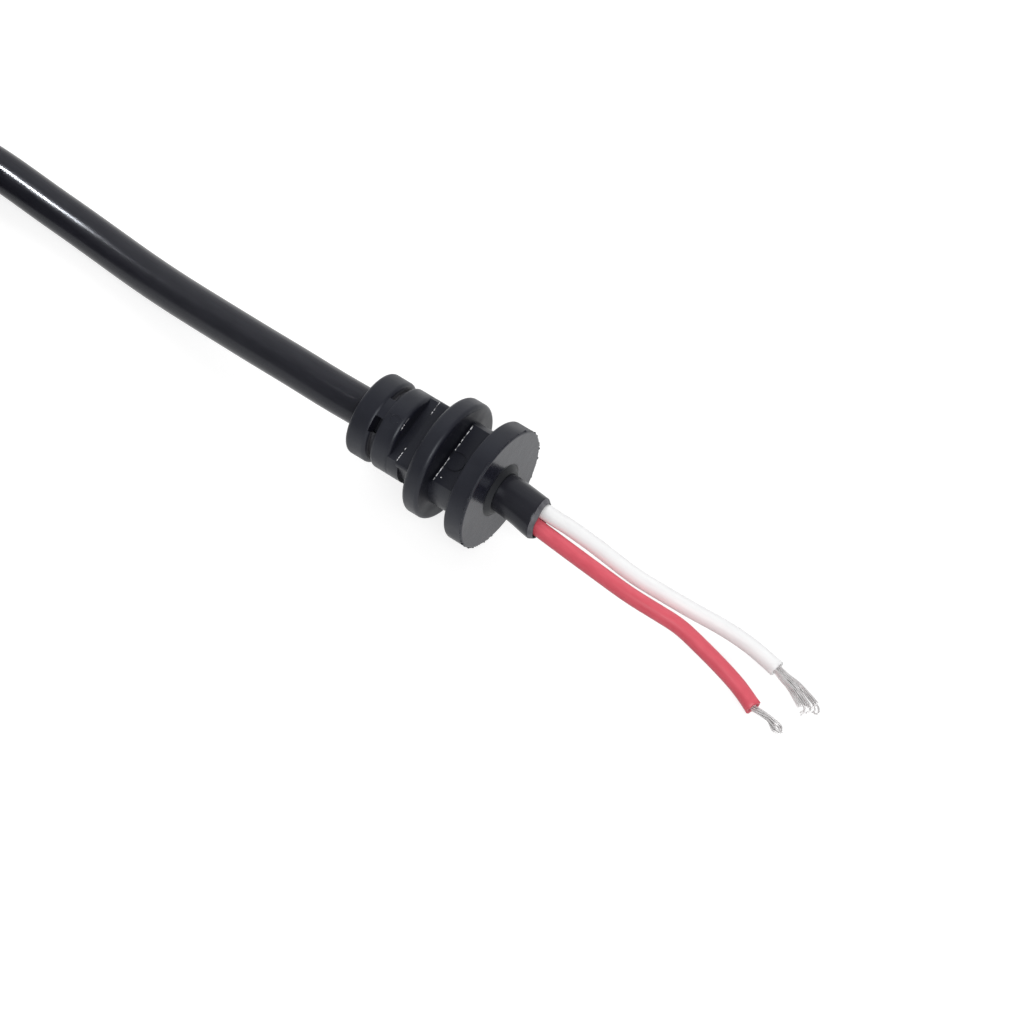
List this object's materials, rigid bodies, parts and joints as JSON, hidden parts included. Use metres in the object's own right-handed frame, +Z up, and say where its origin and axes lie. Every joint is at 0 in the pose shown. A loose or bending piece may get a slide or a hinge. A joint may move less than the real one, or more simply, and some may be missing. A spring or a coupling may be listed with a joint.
{
  "type": "laptop dc power cable",
  "caption": "Round black DC lead with a moulded panel-groove strain relief and stripped red and white wires at one end, a hank of cable and a straight barrel plug at the other.",
  "frame": {"origin": "on the table, under the middle of the strain relief and the jacket end", "axes": "+X along the strain relief towards the stripped wires, +Z up from the table"},
  "size_m": [0.1968, 0.0416, 0.0236],
  "materials": {
    "moulding": "satin black moulded PVC",
    "jacket": "glossy black PVC jacket",
    "red_insulation": "soft red PVC",
    "white_insulation": "soft white PVC",
    "strand": "dull tinned copper",
    "tie": "black plastic band",
    "contact": "nickel plate",
    "insulator": "black plastic"
  },
  "bodies": {
    "root": {"strain_relief": "moulding", "jacket_end": "jacket", "red_wire": "red_insulation", "white_wire": "white_insulation", "red_wire_strands": "strand", "white_wire_strands": "strand", "cable_run": "jacket", "cable_hank": "jacket", "cable_tail": "jacket", "hank_tie_front": "tie", "hank_tie_back": "tie", "plug_grip": "moulding", "plug_sleeve": "contact", "plug_insulator": "insulator", "plug_centre_contact": "contact"}
  },
  "joints": []
}
